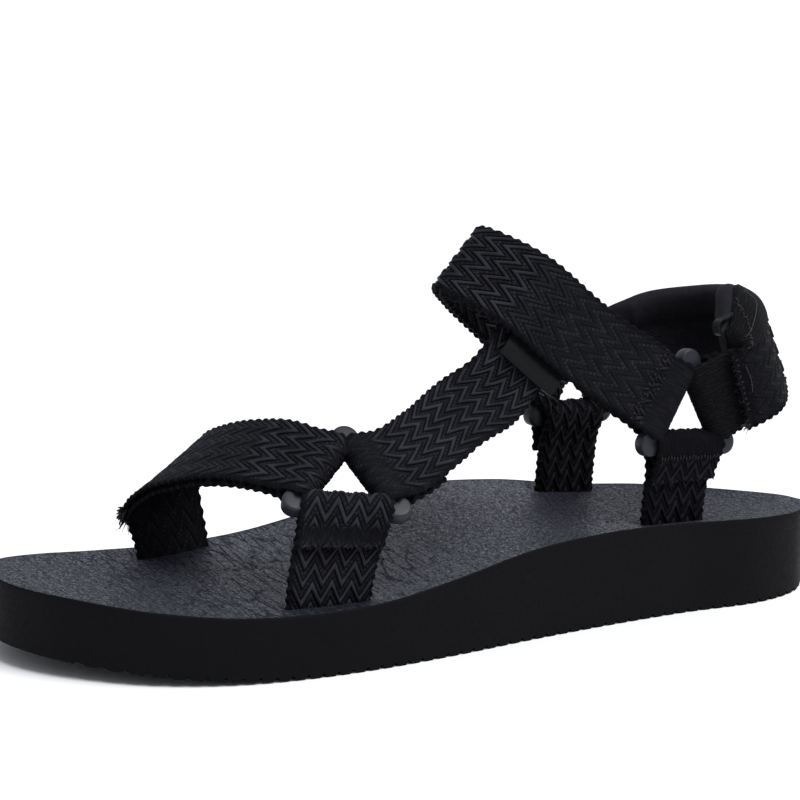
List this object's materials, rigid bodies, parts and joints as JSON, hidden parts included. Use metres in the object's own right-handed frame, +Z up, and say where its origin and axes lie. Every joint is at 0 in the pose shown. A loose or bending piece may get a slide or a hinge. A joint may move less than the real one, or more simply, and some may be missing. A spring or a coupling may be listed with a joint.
{
  "type": "sport sandal",
  "caption": "Open sport sandal for the left foot: a moulded sole with raised arch, patterned webbing straps joined by triangular rings, and a padded heel collar.",
  "frame": {"origin": "floor point below the middle of the sole's length and width", "axes": "+X along the sole towards the heel, -X towards the toe, +Y towards the inner (medial) side, +Z up"},
  "size_m": [0.266, 0.0919, 0.1113],
  "materials": {
    "outsole": "matte",
    "midsole": "matte",
    "footbed": "satin leather grain",
    "webbing": "zigzag weave",
    "ring": "satin",
    "keeper": "smooth coated tape",
    "lining": "fine rib knit"
  },
  "bodies": {
    "root": {"outsole": "outsole", "midsole": "midsole", "footbed": "footbed", "lateral_front_loop": "webbing", "lateral_rear_loop": "webbing", "medial_rear_loop": "webbing", "front_ring": "ring", "lateral_rear_ring": "ring", "medial_rear_ring": "ring", "toe_strap": "webbing", "diagonal_strap": "webbing", "strap_keeper": "keeper", "instep_strap": "webbing", "heel_tab": "webbing", "heel_strap": "webbing", "heel_pad": "lining"}
  },
  "joints": []
}
